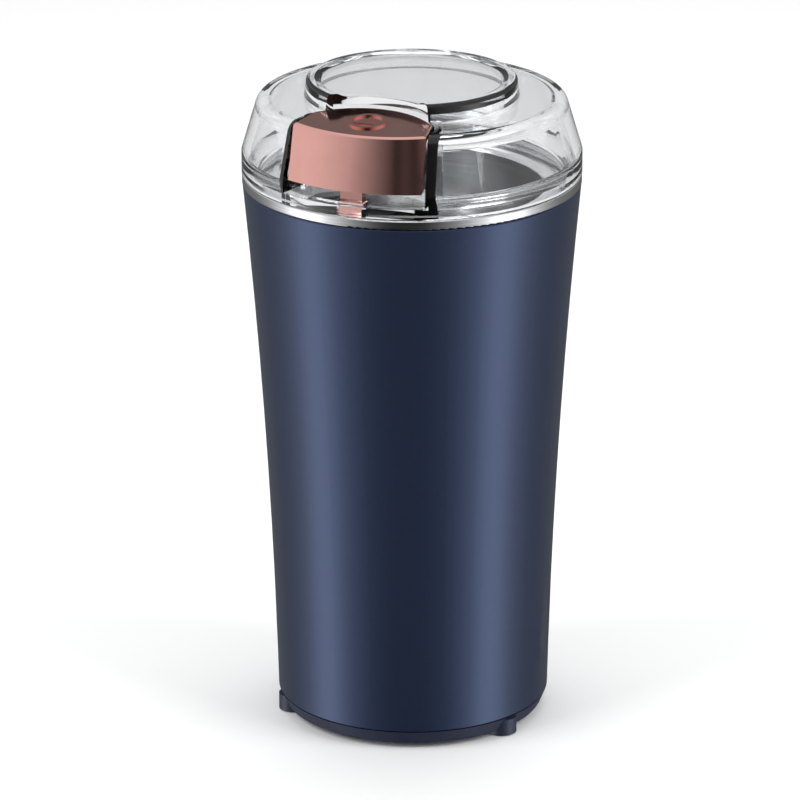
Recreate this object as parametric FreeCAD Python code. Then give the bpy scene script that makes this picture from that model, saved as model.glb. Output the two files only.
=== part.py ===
import FreeCAD, Part
import math
import os

# Electric spice grinder, in millimetres. Z is up, the floor is Z = 0, the axis of the motor is the
# Z axis, and the button is at the front, towards -Y. An azimuth is measured from the front, and
# grows towards +X.

Vector = FreeCAD.Vector
os.makedirs("parts", exist_ok=True)

# Clearances
running_clearance = 0.05
press_clearance = 0.02
slip_clearance = 0.15
seat_gap = 0.2
wall_clearance = 0.35

# Foot pegs and pads
peg_radius = 4.2
peg_proud = 0.55
peg_below_cover = 1.3
peg_side_height = 3.4
peg_ring_turn = 5.5
front_peg_spread = 125.0
pad_radius = 3.0
pad_thickness = 1.5
pad_proud = 0.3

# Base cover
cover_side_inset = 0.15
cover_draft = 1.7
cover_side_height = 4.0
cover_floor = 2.2
cover_edge_rounding = 0.8
spigot_height = 4.4
spigot_wall = 1.6
seam_gap = 0.2
vent_count = 7
vent_pitch = 5.6
vent_width = 2.4
vent_length = 17.0
vent_boss_gap = 6.0

# Body shell, whose side is one arc, bowed in from the straight line between its ends
body_bottom_radius = 39.05
body_top_radius = 47.8
body_height = 152.25
body_side_bow = 1.3995
body_bow_height = 77.0
body_wall = 2.0
body_edge_rounding = 0.35

# Screws
screw_shank_radius = 1.4
screw_head_radius = 2.8
screw_head_height = 1.8
screw_length = 12.0
screw_slot_width = 0.8
screw_slot_depth = 0.7

# Screw bosses of the shell
base_boss_radius = 3.5
base_boss_height = 14.0
base_boss_inset = 5.85
base_boss_first_azimuth = 10.0
base_boss_count = 3
boss_web_thickness = 2.5
carrier_boss_radius = 4.0
carrier_boss_height = 11.0
carrier_boss_inset = 3.6
carrier_boss_first_azimuth = 60.0
carrier_boss_count = 3

# Grinding bowl
rim_height = 3.1
rim_width = 2.4
rim_proud = 0.1
rim_rounding = 0.6
bowl_sheet = 0.8
bowl_mouth_rounding = 2.0
bowl_depth = 48.65
bowl_corner_radius = 16.0

# Bowl hub, seal and gasket
hub_barrel_radius = 6.0
hub_flange_radius = 9.0
hub_flange_thickness = 1.5
hub_tail_length = 5.0
hub_bore_clearance = 0.3
hub_nut_width = 17.0
hub_nut_height = 3.0
seal_radius = 5.2
seal_height = 2.8
gasket_radius = 14.0
gasket_thickness = 2.0

# Motor carrier
carrier_thickness = 3.0
carrier_post_radius = 3.6
carrier_post_fan_gap = 3.9
carrier_post_y = 7.0
grommet_radius = 4.2
grommet_thickness = 1.5

# Cooling fan
fan_over_lever = 2.5
fan_height = 5.6
fan_hub_radius = 6.0
fan_disc_thickness = 1.2
fan_blade_count = 12
fan_blade_thickness = 1.0
fan_gap = 0.8

# Motor brackets
bracket_thickness = 1.6
bracket_end_margin = 4.5
bracket_half_width = 12.0
bracket_rounding = 4.0
bearing_boss_radius = 8.5
bearing_radius = 5.5
bearing_height = 6.0
bearing_lip = 0.8
leg_radius = 3.8
lower_plate_thickness = 2.4
lower_plate_half_width = 14.0
lower_plate_end_margin = 1.5
bracket_cutout_gap = 3.2
lower_plate_gap = 2.7

# Stator and coils
stator_height = 26.0
stator_half_length = 28.0
stator_half_width = 24.0
stator_corner = 8.0
stator_end_yoke = 6.0
stator_side_yoke = 5.0
stator_screw_margin = 4.5
stator_window_corner = 6.0
pole_half_width = 7.0
pole_shoe_thickness = 3.0
pole_shoe_half_angle = 50.0
air_gap = 0.4
coil_build = 4.9
coil_thickness = 3.8
coil_slack = 0.3
coil_corner = 4.0

# Rotor
shaft_radius = 2.5
shaft_foot = 1.5
armature_radius = 14.2
armature_slot_count = 12
armature_slot_radius = 1.6
armature_slot_depth = 2.6
armature_slot_mouth = 1.0
winding_inset = 1.6
winding_height = 5.0
commutator_radius = 8.5
commutator_height = 9.0
commutator_drop = 0.9
commutator_bar_count = 24
commutator_slit = 0.4
commutator_slit_depth = 1.6

# Brushes
brush_half_width = 2.5
brush_length = 8.4
brush_tube_half_width = 3.4
brush_tube_wall = 0.8
brush_tube_gap = 1.5
brush_tube_length = 14.5
brush_spring_radius = 2.1

# Blade and what holds it
blade_gap = 0.4
spacer_radius = 4.5
spacer_height = 5.6
blade_thickness = 1.6
blade_tip_gap = 8.4
blade_root_half_width = 5.5
blade_tip_half_width = 3.4
blade_flat = 8.0
blade_bend_angle = 12.0
washer_radius = 5.0
washer_thickness = 0.8
blade_nut_width = 8.0
blade_nut_height = 3.4
blade_nut_dome = 1.8
shaft_end_below_dome = 0.6

# Lid
lid_overhang = 0.2
lid_band_height = 6.1
lid_shoulder_height = 15.85
lid_shoulder_inset = 4.75
lid_corner_rounding = 3.4
lid_top_rise = 0.5
lid_inner_corner = 3.0
lid_wall = 2.6
lid_foot_height = 1.4
lid_lip_drop = 1.3
lid_lip_gap = 0.3
lid_lip_thickness = 2.75
disc_radius = 29.6
disc_draft = 0.7
disc_height = 4.7
disc_edge_rounding = 1.2
dish_rim_width = 2.4
dish_slope = 1.6
dish_depth = 0.8

# Button pocket in the lid
pocket_arc_inset = 2.5
pocket_arc_radius = 24.75
pocket_side_angle = 12.0
pocket_axis_half_width = 11.6
pocket_wall = 2.2
pocket_floor = 2.85

# Button
button_side_lean = 3.0
button_top_slope = 5.0
button_top_inset = 0.15
button_bottom_inset = 1.2
button_below_lid_top = 0.3
button_stop_gap = 0.6
button_wall = 1.8
button_rounding = 1.0
button_travel = 3.2
stem_half_width = 3.25
stem_inset = 3.2
stem_thickness = 3.0
symbol_radius = 5.4
symbol_line = 1.1
symbol_relief = 0.5
symbol_sunk = 0.3
symbol_inset = 10.8
symbol_bar_offset = 1.9
symbol_stroke_length = 4.4

# Switch plunger and its spring
plunger_half_width = 3.5
plunger_set_back = 0.1
plunger_depth = 5.3
plunger_neck_height = 3.5
plunger_foot_height = 2.0
plunger_foot_reach = 1.2
plunger_top_gap = 0.2
rod_radius = 1.3
rod_wall_gap = 1.228
rod_bowl_gap = 0.4
collar_radius = 1.9
collar_height = 2.0
plunger_spring_length = 12.8
plunger_spring_wire = 0.5

# Microswitch and its lever
switch_length = 19.8
switch_half_width = 3.2
switch_height = 10.0
switch_reach = 20.9
switch_below_fan = 2.3
switch_button_height = 0.7
switch_button_offset = 15.0
switch_button_radius = 1.0
switch_screw_radius = 1.0
switch_screw_offset = 9.0
switch_screw_spacing = 6.4
switch_plate_thickness = 2.0
switch_plate_front_margin = 3.1
switch_plate_back_margin = 2.0
terminal_length = 5.0
terminal_spacing = 7.0
lever_thickness = 0.6
lever_half_width = 2.0
lever_angle = 9.6
lever_tip_reach = 1.4
lever_pivot_offset = 1.5
lever_pivot_rise = 1.0
lever_pin_radius = 0.4
lever_barrel_radius = 0.85
ear_thickness = 0.9

# Cord gland
gland_height = 19.0
gland_neck_radius = 5.0
gland_flange_radius = 6.6
gland_flange_proud = 1.6
gland_inner_flange = 2.0
gland_bore_radius = 3.2

# Capacitor, thermal cut-out and leads
capacitor_half_length = 9.0
capacitor_depth = 8.0
capacitor_height = 12.0
capacitor_front_y = 5.0
capacitor_rib_thickness = 1.5
capacitor_rib_height = 5.0
cutout_radius = 2.0
cutout_length = 12.0
lead_radius = 0.9
lead_bend_radius = 4.0
lead_front_inset = 2.8
lead_stator_gap = 8.0

# Heights in the motor
upper_leg_height = coil_slack + coil_build + 2 * cutout_radius + bracket_cutout_gap
lower_leg_height = winding_height + commutator_drop + commutator_height + lower_plate_gap

# Levels along the axis, from the floor up
cover_bottom = pad_proud + peg_below_cover
cover_top = cover_bottom + cover_side_height
cover_floor_top = cover_bottom + cover_floor
seam = cover_top + seam_gap
body_top = seam + body_height
rim_top = body_top + rim_height
flange_top = body_top + bowl_sheet
bowl_floor = rim_top - bowl_depth
bowl_bottom = bowl_floor - bowl_sheet
carrier_top = bowl_bottom - gasket_thickness
carrier_bottom = carrier_top - carrier_thickness
hub_bottom = carrier_bottom - hub_tail_length
hub_top = bowl_floor + hub_flange_thickness
fan_top = hub_bottom - fan_gap
fan_bottom = fan_top - fan_height
bracket_top = fan_bottom - fan_gap
bracket_bottom = bracket_top - bracket_thickness
post_bottom = bracket_top + grommet_thickness
stator_top = bracket_bottom - upper_leg_height
stator_bottom = stator_top - stator_height
lower_plate_top = stator_bottom - lower_leg_height
lower_plate_bottom = lower_plate_top - lower_plate_thickness
lid_bottom = rim_top + seat_gap
band_top = lid_bottom + lid_band_height
shoulder_top = band_top + lid_shoulder_height
lid_top = shoulder_top + lid_top_rise
disc_top = lid_top + disc_height
pocket_bottom = lid_bottom + pocket_floor
button_top = shoulder_top - button_below_lid_top
button_bottom = pocket_bottom + button_travel + button_stop_gap
plunger_top = lid_bottom - plunger_top_gap
plunger_foot_bottom = plunger_top - plunger_neck_height - plunger_foot_height
switch_top = fan_bottom - switch_below_fan
switch_bottom = switch_top - switch_height
lever_pivot_z = switch_top + lever_pivot_rise


# The side of the body, an arc about a centre outside it

def arc_centre(first, second, third):
    ax, ay = first
    bx, by = second
    cx, cy = third
    double_area = 2 * (ax * (by - cy) + bx * (cy - ay) + cx * (ay - by))
    a_square = ax * ax + ay * ay
    b_square = bx * bx + by * by
    c_square = cx * cx + cy * cy
    centre_x = (a_square * (by - cy) + b_square * (cy - ay) + c_square * (ay - by)) / double_area
    centre_y = (a_square * (cx - bx) + b_square * (ax - cx) + c_square * (bx - ax)) / double_area
    return centre_x, centre_y


body_chord_rise = (body_top_radius - body_bottom_radius) * body_bow_height / body_height
body_waist_radius = body_bottom_radius + body_chord_rise - body_side_bow
side_bottom = (body_bottom_radius, seam)
side_waist = (body_waist_radius, seam + body_bow_height)
side_top = (body_top_radius, body_top)
side_centre_r, side_centre_z = arc_centre(side_bottom, side_waist, side_top)
side_arc_radius = math.hypot(side_centre_r - body_top_radius, side_centre_z - body_top)


def side_radius(z, inset):
    reach = side_arc_radius + inset
    return side_centre_r - math.sqrt(reach * reach - (z - side_centre_z) ** 2)


# Distances from the axis, from the body inwards
cover_top_radius = body_bottom_radius - cover_side_inset
cover_bottom_radius = cover_top_radius - cover_draft
peg_circle_radius = body_bottom_radius + peg_proud - peg_radius
base_boss_circle_radius = body_bottom_radius - body_wall - base_boss_inset
vent_front = base_boss_circle_radius - vent_boss_gap
carrier_boss_circle_radius = side_radius(carrier_bottom, body_wall) - carrier_boss_inset
rod_distance = side_radius(carrier_bottom, body_wall) - rod_wall_gap - rod_radius
bowl_mouth_radius = rod_distance - rod_radius - rod_bowl_gap - bowl_sheet
blade_reach = bowl_mouth_radius - blade_tip_gap
lid_radius = body_top_radius + lid_overhang
lid_shoulder_radius = lid_radius - lid_shoulder_inset
rim_radius = body_top_radius + rim_proud
rim_inner_radius = rim_radius - rim_width
lid_lip_radius = rim_inner_radius - lid_lip_gap
lid_inner_bottom_radius = lid_lip_radius - lid_lip_thickness
lid_inner_radius = lid_radius - lid_wall
lid_slope = lid_shoulder_inset / lid_shoulder_height
lid_inner_bend = band_top - (math.hypot(1, lid_slope) - 1) / lid_slope * lid_wall
lid_inner_top_radius = lid_shoulder_radius + (lid_slope - math.hypot(1, lid_slope)) * lid_wall
disc_base_radius = disc_radius + disc_draft
dish_radius = disc_radius - dish_rim_width
pocket_arc_centre = lid_radius - pocket_arc_inset
button_front_top_radius = lid_shoulder_radius - button_top_inset
button_front_bottom_radius = lid_radius - button_bottom_inset
symbol_centre = lid_shoulder_radius - symbol_inset
stem_front = lid_radius - stem_inset
stem_back = stem_front - stem_thickness
plunger_front = stem_front - plunger_set_back
plunger_back = plunger_front - plunger_depth
plunger_foot_back = rod_distance - plunger_foot_reach

# Distances from the axis, at the switch and in the motor
switch_back = rod_distance - switch_reach
switch_button_distance = switch_back + switch_button_offset
switch_screw_distance = switch_back + switch_screw_offset
switch_plate_front = switch_screw_distance + switch_screw_spacing + switch_plate_front_margin
switch_plate_back = switch_screw_distance - switch_plate_back_margin
lever_pivot_distance = switch_back + lever_pivot_offset
lever_tip_distance = rod_distance + lever_tip_reach
lead_front_distance = switch_back + switch_length - lead_front_inset
lead_rear_distance = stator_half_width + lead_stator_gap
fan_radius = lever_pivot_distance + fan_over_lever
carrier_post_x = fan_radius + carrier_post_fan_gap + carrier_post_radius
bracket_half_length = carrier_post_x + bracket_end_margin
leg_x = stator_half_length - stator_screw_margin
leg_y = stator_half_width - stator_screw_margin
stator_window_half_length = stator_half_length - stator_end_yoke
stator_window_half_width = stator_half_width - stator_side_yoke
winding_radius = armature_radius - winding_inset
brush_tube_start = commutator_radius + brush_tube_gap
lower_plate_half_length = brush_tube_start + brush_tube_length + lower_plate_end_margin


# Shape helpers

def save(name, shape):
    if not shape.isValid():
        print("NOT VALID", name)
    shape.exportStep("parts/" + name + ".step")
    print(name, len(shape.Solids), round(shape.Volume, 1))


def fused(shapes):
    return shapes[0].fuse(shapes[1:]).removeSplitter()


def profile_point(radius, z):
    return Vector(radius, 0, z)


def plan_point(x, y):
    return Vector(x, y, 0)


def side_point(y, z):
    return Vector(0, y, z)


def rounded_face(corners, place):
    # A corner is two coordinates, with a third where it is rounded to that radius.
    stops = []
    for index, corner in enumerate(corners):
        here = place(corner[0], corner[1])
        if len(corner) == 2:
            stops.append((here, None, here))
            continue
        before = place(*corners[index - 1][:2])
        after = place(*corners[(index + 1) % len(corners)][:2])
        to_before = (before - here).normalize()
        to_after = (after - here).normalize()
        half_angle = to_before.getAngle(to_after) / 2
        inward = (to_before + to_after).normalize()
        reach = corner[2] / math.tan(half_angle)
        depth = corner[2] / math.sin(half_angle) - corner[2]
        stops.append((here + to_before * reach, here + inward * depth, here + to_after * reach))
    edges = []
    for index, (arrive, through, leave) in enumerate(stops):
        if through is not None:
            edges.append(Part.Arc(arrive, through, leave).toShape())
        following = stops[(index + 1) % len(stops)][0]
        if leave.distanceToPoint(following) > 1e-6:
            edges.append(Part.LineSegment(leave, following).toShape())
    return Part.Face(Part.Wire(edges))


def upright(shape):
    solid = Part.Solid(shape.Shells[0])
    if solid.Volume < 0:
        solid.reverse()
    return solid


def turned_solid(corners):
    face = rounded_face(corners, profile_point)
    return upright(face.revolve(Vector(0, 0, 0), Vector(0, 0, 1), 360))


def plan_solid(corners, low, high):
    face = rounded_face(corners, plan_point)
    face.translate(Vector(0, 0, low))
    return upright(face.extrude(Vector(0, 0, high - low)))


def side_solid(corners, low_x, high_x):
    face = rounded_face(corners, side_point)
    face.translate(Vector(low_x, 0, 0))
    return upright(face.extrude(Vector(high_x - low_x, 0, 0)))


def disc(radius, low, high, x=0.0, y=0.0):
    return Part.makeCylinder(radius, high - low, Vector(x, y, low))


def ring(outer, inner, low, high, x=0.0, y=0.0):
    return disc(outer, low, high, x, y).cut(disc(inner, low, high, x, y))


def block(low_x, high_x, low_y, high_y, low, high):
    return Part.makeBox(high_x - low_x, high_y - low_y, high - low, Vector(low_x, low_y, low))


def hexagon(width, low, high):
    across_corners = width / math.sqrt(3)
    corners = []
    for index in range(6):
        angle = math.radians(60 * index)
        corners.append((across_corners * math.cos(angle), across_corners * math.sin(angle)))
    return plan_solid(corners, low, high)


def at_azimuth(distance, azimuth):
    angle = math.radians(azimuth)
    return distance * math.sin(angle), -distance * math.cos(angle)


def turned(shape, azimuth):
    copy = shape.copy()
    copy.rotate(Vector(0, 0, 0), Vector(0, 0, 1), azimuth)
    return copy


def azimuths(first, count):
    return [first + 360.0 * index / count for index in range(count)]


def around(shape, first, count):
    # Copies of a shape that is modelled at the front.
    return [turned(shape, azimuth) for azimuth in azimuths(first, count)]


def wedge(half_angle, widening, low, high):
    # The plan sector about the front, with both sides moved out by the widening.
    angle = math.radians(half_angle)
    far = 2 * lid_radius
    shift_y = widening / math.sin(angle)
    corner_x = far * math.tan(angle)
    return plan_solid([(0, shift_y), (-corner_x, shift_y - far), (corner_x, shift_y - far)], low, high)


def flat_sided(low_corners, high_corners):
    # The solid between two outlines with as many corners, whose sides are flat.
    outlines = [low_corners, high_corners]
    for index in range(len(low_corners)):
        before = index - 1
        outlines.append([low_corners[before], low_corners[index], high_corners[index], high_corners[before]])
    faces = [Part.Face(Part.makePolygon(outline + [outline[0]])) for outline in outlines]
    return upright(Part.Shell(faces))


def between_sides(widening, low, high, lean=0.0):
    # The plan between both sides of the pocket, moved out by the widening. A lean narrows it downwards.
    angle = math.radians(pocket_side_angle)
    far = 2 * lid_radius
    outlines = []
    for level in (low, high):
        narrowing = (button_top - level) * math.tan(math.radians(lean))
        near_x = pocket_axis_half_width + (widening - narrowing) / math.cos(angle)
        far_x = near_x + far * math.tan(angle)
        corners = [(-near_x, 0), (-far_x, -far), (far_x, -far), (near_x, 0)]
        outlines.append([Vector(x, y, level) for x, y in corners])
    return flat_sided(outlines[0], outlines[1])


def side_form(inset, low, high):
    # The solid inside the side of the body, drawn in by the inset.
    middle = (low + high) / 2
    bottom_point = profile_point(side_radius(low, inset), low)
    middle_point = profile_point(side_radius(middle, inset), middle)
    top_point = profile_point(side_radius(high, inset), high)
    edges = [
        Part.LineSegment(profile_point(0, low), bottom_point).toShape(),
        Part.Arc(bottom_point, middle_point, top_point).toShape(),
        Part.LineSegment(top_point, profile_point(0, high)).toShape(),
        Part.LineSegment(profile_point(0, high), profile_point(0, low)).toShape(),
    ]
    face = Part.Face(Part.Wire(edges))
    return upright(face.revolve(Vector(0, 0, 0), Vector(0, 0, 1), 360))


# Screws, modelled with the head below and the shank upwards

def screw(head_bottom, shank_top, x, y, shank_radius=screw_shank_radius):
    head = disc(screw_head_radius, head_bottom, head_bottom + screw_head_height, x, y)
    half_slot = screw_slot_width / 2
    slot = block(x - screw_head_radius, x + screw_head_radius, y - half_slot, y + half_slot,
                 head_bottom, head_bottom + screw_slot_depth)
    shank = disc(shank_radius, head_bottom + screw_head_height, shank_top, x, y)
    return head.cut(slot).fuse(shank)


# Base

def peg_azimuths():
    # Two pegs in front, spread evenly, and one behind.
    half_spread = front_peg_spread / 2
    return [peg_ring_turn - half_spread, peg_ring_turn + half_spread, peg_ring_turn + 180.0]


def make_foot_pads():
    pads = []
    for azimuth in peg_azimuths():
        x, y = at_azimuth(peg_circle_radius, azimuth)
        pads.append(disc(pad_radius, 0, pad_thickness, x, y))
    return Part.makeCompound(pads)


def make_base_cover():
    spigot_radius = side_radius(seam, body_wall) - slip_clearance
    spigot_inner = spigot_radius - spigot_wall
    pillar_radius = screw_head_radius + body_wall
    tray = turned_solid([
        (0, cover_bottom),
        (cover_bottom_radius, cover_bottom, cover_edge_rounding),
        (cover_top_radius, cover_top),
        (spigot_radius, cover_top),
        (spigot_radius, seam + spigot_height),
        (spigot_inner, seam + spigot_height),
        (spigot_inner, cover_floor_top),
        (0, cover_floor_top),
    ])
    solids = [tray]
    cuts = []
    for azimuth in peg_azimuths():
        x, y = at_azimuth(peg_circle_radius, azimuth)
        peg = disc(peg_radius, pad_proud, cover_bottom + peg_side_height, x, y)
        solids.append(peg.cut(disc(spigot_inner, cover_floor_top, seam)))
        cuts.append(disc(pad_radius + slip_clearance, pad_proud, pad_thickness, x, y))
    for azimuth in azimuths(base_boss_first_azimuth, base_boss_count):
        x, y = at_azimuth(base_boss_circle_radius, azimuth)
        solids.append(disc(pillar_radius, cover_floor_top, seam, x, y))
        cuts.append(disc(screw_head_radius + wall_clearance, cover_bottom, cover_floor_top, x, y))
        cuts.append(disc(screw_shank_radius + slip_clearance, cover_bottom, seam, x, y))
    for side in (-1, 1):
        rib_y = capacitor_front_y + capacitor_depth / 2
        rib_y += side * (capacitor_depth / 2 + slip_clearance + capacitor_rib_thickness / 2)
        solids.append(block(-capacitor_half_length, capacitor_half_length,
                            rib_y - capacitor_rib_thickness / 2, rib_y + capacitor_rib_thickness / 2,
                            cover_floor_top, cover_floor_top + capacitor_rib_height))
    for index in range(vent_count):
        x = (index - (vent_count - 1) / 2) * vent_pitch
        half = vent_width / 2
        cuts.append(plan_solid([
            (x - half, -vent_front, half * 0.9),
            (x + half, -vent_front, half * 0.9),
            (x + half, vent_length - vent_front, half * 0.9),
            (x - half, vent_length - vent_front, half * 0.9),
        ], cover_bottom, cover_floor_top))
    return fused(solids).cut(cuts)


def make_base_screws():
    screws = []
    for azimuth in azimuths(base_boss_first_azimuth, base_boss_count):
        x, y = at_azimuth(base_boss_circle_radius, azimuth)
        head_bottom = cover_floor_top - screw_head_height
        screws.append(screw(head_bottom, cover_floor_top + screw_length, x, y))
    return Part.makeCompound(screws)


# Body shell with its screw bosses

def make_body_shell():
    skin = side_form(0, seam, body_top)
    ends = [edge for edge in skin.Edges if edge.BoundBox.ZLength < seam_gap]
    skin = skin.makeFillet(body_edge_rounding, ends).cut(side_form(body_wall, seam, body_top))
    envelope = side_form(body_wall / 2, seam, body_top)
    solids = [skin]
    cuts = []
    for azimuth in azimuths(base_boss_first_azimuth, base_boss_count):
        x, y = at_azimuth(base_boss_circle_radius, azimuth)
        web_low = seam + spigot_height + seam_gap
        web = block(-boss_web_thickness / 2, boss_web_thickness / 2, -body_top_radius,
                    -base_boss_circle_radius, web_low, seam + base_boss_height)
        solids.append(disc(base_boss_radius, seam, seam + base_boss_height, x, y))
        solids.append(turned(web, azimuth).common(envelope))
        pilot_top = cover_floor_top + screw_length + seam_gap
        cuts.append(disc(screw_shank_radius + press_clearance, seam, pilot_top, x, y))
    for azimuth in azimuths(carrier_boss_first_azimuth, carrier_boss_count):
        x, y = at_azimuth(carrier_boss_circle_radius, azimuth)
        boss = disc(carrier_boss_radius, carrier_bottom - carrier_boss_height, carrier_bottom, x, y)
        solids.append(boss.common(envelope))
        pilot_bottom = carrier_top - screw_length - seam_gap
        cuts.append(disc(screw_shank_radius + press_clearance, pilot_bottom, carrier_bottom, x, y))
    gland_hole = Part.makeCylinder(gland_neck_radius + press_clearance, body_top_radius,
                                   Vector(0, 0, gland_height), Vector(0, 1, 0))
    return fused(solids).cut(cuts + [gland_hole])


def make_cord_gland():
    axis = Vector(0, 1, 0)
    start = Vector(0, 0, gland_height)
    outer_face = side_radius(gland_height, 0) + gland_flange_proud
    inner_face = side_radius(gland_height, body_wall) - gland_inner_flange
    outer_flange = Part.makeCylinder(gland_flange_radius, outer_face, start, axis)
    outer_flange = outer_flange.cut(side_form(0, seam, body_top))
    inner_flange = Part.makeCylinder(gland_flange_radius, outer_face, start, axis)
    inner_flange = inner_flange.common(side_form(body_wall, seam, body_top))
    neck = Part.makeCylinder(gland_neck_radius, outer_face, start, axis)
    body = fused([outer_flange, neck, inner_flange])
    inside = Part.makeCylinder(2 * gland_flange_radius, inner_face, start, axis)
    bore = Part.makeCylinder(gland_bore_radius, 2 * outer_face, start, axis)
    return body.cut([inside, bore])


# Grinding bowl and its hub

def make_bowl():
    outer_radius = bowl_mouth_radius + bowl_sheet
    flange_end = rim_radius - rim_width / 2
    hole_radius = hub_barrel_radius + slip_clearance
    sheet = turned_solid([
        (hole_radius, bowl_bottom),
        (outer_radius, bowl_bottom, bowl_corner_radius + bowl_sheet),
        (outer_radius, body_top, bowl_mouth_rounding - bowl_sheet),
        (flange_end, body_top),
        (flange_end, flange_top),
        (bowl_mouth_radius, flange_top, bowl_mouth_rounding),
        (bowl_mouth_radius, bowl_floor, bowl_corner_radius),
        (hole_radius, bowl_floor),
    ])
    rim = turned_solid([
        (rim_inner_radius, body_top, rim_rounding),
        (rim_radius, body_top, rim_rounding),
        (rim_radius, rim_top, rim_rounding),
        (rim_inner_radius, rim_top, rim_rounding),
    ])
    window = block(-plunger_half_width - slip_clearance, plunger_half_width + slip_clearance,
                   -stem_front - slip_clearance, -plunger_back + slip_clearance,
                   body_top - bowl_mouth_rounding, rim_top)
    return fused([sheet, rim]).cut(window)


def make_bowl_gasket():
    return ring(gasket_radius, hub_barrel_radius + slip_clearance, carrier_top, bowl_bottom)


def make_bowl_hub():
    bore = shaft_radius + hub_bore_clearance
    return turned_solid([
        (bore, hub_bottom),
        (hub_barrel_radius, hub_bottom, 0.5),
        (hub_barrel_radius, bowl_floor),
        (hub_flange_radius, bowl_floor),
        (hub_flange_radius, hub_top, 0.6),
        (seal_radius, hub_top),
        (seal_radius, hub_top - seal_height),
        (bore, hub_top - seal_height),
    ])


def make_hub_nut():
    nut = hexagon(hub_nut_width, carrier_bottom - hub_nut_height, carrier_bottom)
    return nut.cut(disc(hub_barrel_radius + press_clearance, hub_bottom, carrier_bottom))


def make_shaft_seal():
    outer = seal_radius - press_clearance
    return ring(outer, shaft_radius + running_clearance, hub_top - seal_height, hub_top)


# Motor carrier, which hangs the motor under the bowl

def make_motor_carrier():
    plate = disc(side_radius(carrier_bottom, body_wall) - wall_clearance, carrier_bottom, carrier_top)
    solids = [plate]
    cuts = [disc(hub_barrel_radius + slip_clearance, carrier_bottom, carrier_top)]
    for x in (-carrier_post_x, carrier_post_x):
        for y in (-carrier_post_y, carrier_post_y):
            solids.append(disc(carrier_post_radius, post_bottom, carrier_bottom, x, y))
            cuts.append(disc(screw_shank_radius + press_clearance, post_bottom,
                             bracket_bottom + screw_length + seam_gap, x, y))
    switch_plate = block(switch_half_width + running_clearance,
                         switch_half_width + running_clearance + switch_plate_thickness,
                         -switch_plate_front, -switch_plate_back, switch_bottom, carrier_bottom)
    solids.append(switch_plate)
    for azimuth in azimuths(carrier_boss_first_azimuth, carrier_boss_count):
        x, y = at_azimuth(carrier_boss_circle_radius, azimuth)
        cuts.append(disc(screw_shank_radius + slip_clearance, carrier_bottom, carrier_top, x, y))
    cuts.append(disc(rod_radius + running_clearance, carrier_bottom, carrier_top, 0, -rod_distance))
    for y in switch_screw_places():
        cuts.append(Part.makeCylinder(switch_screw_radius + press_clearance, 3 * switch_half_width,
                                      Vector(0, y, (switch_top + switch_bottom) / 2), Vector(1, 0, 0)))
    return fused(solids).cut(cuts)


def make_carrier_screws():
    screws = []
    for azimuth in azimuths(carrier_boss_first_azimuth, carrier_boss_count):
        x, y = at_azimuth(carrier_boss_circle_radius, azimuth)
        upward = screw(-carrier_top - screw_head_height, screw_length - carrier_top, x, -y)
        upward.rotate(Vector(0, 0, 0), Vector(1, 0, 0), 180)
        screws.append(upward)
    return Part.makeCompound(screws)


def make_motor_grommets():
    grommets = []
    for x in (-carrier_post_x, carrier_post_x):
        for y in (-carrier_post_y, carrier_post_y):
            hole_radius = screw_shank_radius + slip_clearance
            grommets.append(ring(grommet_radius, hole_radius, bracket_top, post_bottom, x, y))
    return Part.makeCompound(grommets)


def make_motor_screws():
    screws = []
    for x in (-carrier_post_x, carrier_post_x):
        for y in (-carrier_post_y, carrier_post_y):
            screws.append(screw(bracket_bottom - screw_head_height, bracket_bottom + screw_length, x, y))
    return Part.makeCompound(screws)


# Motor brackets and bearings

def bracket_arms(low, high):
    # Two arms reach from the plate to legs on one diagonal of the stator.
    arms = []
    for side in (-1, 1):
        low_x, high_x = sorted((side * (leg_x - leg_radius), side * (leg_x + leg_radius)))
        low_y, high_y = sorted((-side * bracket_half_width / 2, -side * leg_y))
        arms.append(block(low_x, high_x, low_y, high_y, low, high))
    return arms


def leg_places():
    return [(leg_x, -leg_y), (-leg_x, leg_y)]


def make_upper_bracket():
    plate = plan_solid([
        (-bracket_half_length, -bracket_half_width, bracket_rounding),
        (bracket_half_length, -bracket_half_width, bracket_rounding),
        (bracket_half_length, bracket_half_width, bracket_rounding),
        (-bracket_half_length, bracket_half_width, bracket_rounding),
    ], bracket_bottom, bracket_top)
    boss_bottom = bracket_top - bearing_height - 2 * bearing_lip
    solids = [plate, disc(bearing_boss_radius, boss_bottom, bracket_top)]
    solids += bracket_arms(bracket_bottom, bracket_top)
    cuts = [
        disc(bearing_radius + press_clearance, boss_bottom + bearing_lip, bracket_top),
        disc(shaft_radius + wall_clearance, boss_bottom, bracket_top),
    ]
    for x, y in leg_places():
        solids.append(disc(leg_radius, stator_top, bracket_top, x, y))
        cuts.append(disc(screw_shank_radius + press_clearance, stator_top, bracket_top, x, y))
    for x in (-carrier_post_x, carrier_post_x):
        for y in (-carrier_post_y, carrier_post_y):
            cuts.append(disc(screw_shank_radius + slip_clearance, bracket_bottom, bracket_top, x, y))
    return fused(solids).cut(cuts)


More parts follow.
